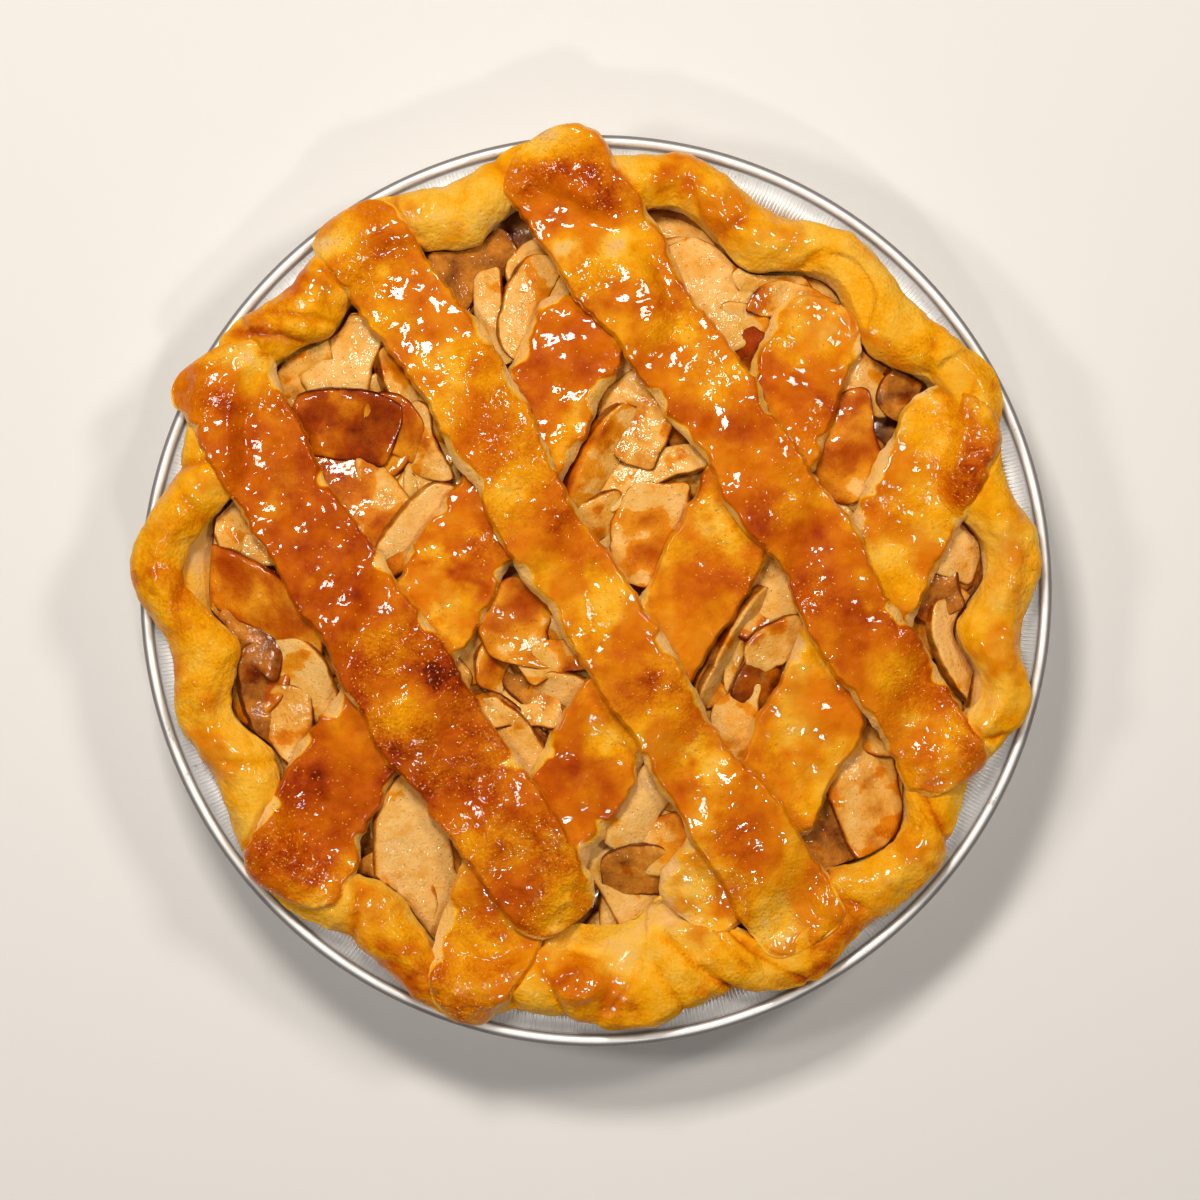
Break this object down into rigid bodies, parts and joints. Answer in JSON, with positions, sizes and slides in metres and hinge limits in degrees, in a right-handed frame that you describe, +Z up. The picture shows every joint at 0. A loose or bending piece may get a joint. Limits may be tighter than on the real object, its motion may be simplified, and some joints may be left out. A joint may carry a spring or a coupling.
{
  "type": "lattice apple pie",
  "caption": "Baked apple pie in a foil pie tin, with a crimped pastry rim, apple slices and a diagonal lattice of glazed pastry strips.",
  "frame": {"origin": "centre of the tin's flat underside", "axes": "+Z up through the pie; +Y towards the top of the picture, where the end of the right-hand long strip folds over the rim; +X towards the picture's right"},
  "size_m": [0.2473, 0.2494, 0.0498],
  "materials": {
    "foil": "bright rolled foil with fine crimp lines",
    "rim_pastry": "golden baked pastry with a thin egg and sugar glaze",
    "cross_strip_pastry": "golden brown baked pastry with pale cut edges and a glossy glaze",
    "long_strip_pastry": "deep caramel brown baked pastry with a glossy glaze",
    "apple": "moist baked apple slices with brown specks of spice in a clear caramel juice"
  },
  "bodies": {
    "root": {"tin": "foil", "crust": "rim_pastry", "filling": "apple", "strip_cross_left": "cross_strip_pastry", "strip_cross_middle": "cross_strip_pastry", "strip_cross_right": "cross_strip_pastry", "strip_long_left": "long_strip_pastry", "strip_long_middle": "long_strip_pastry", "strip_long_right": "long_strip_pastry"}
  },
  "joints": []
}
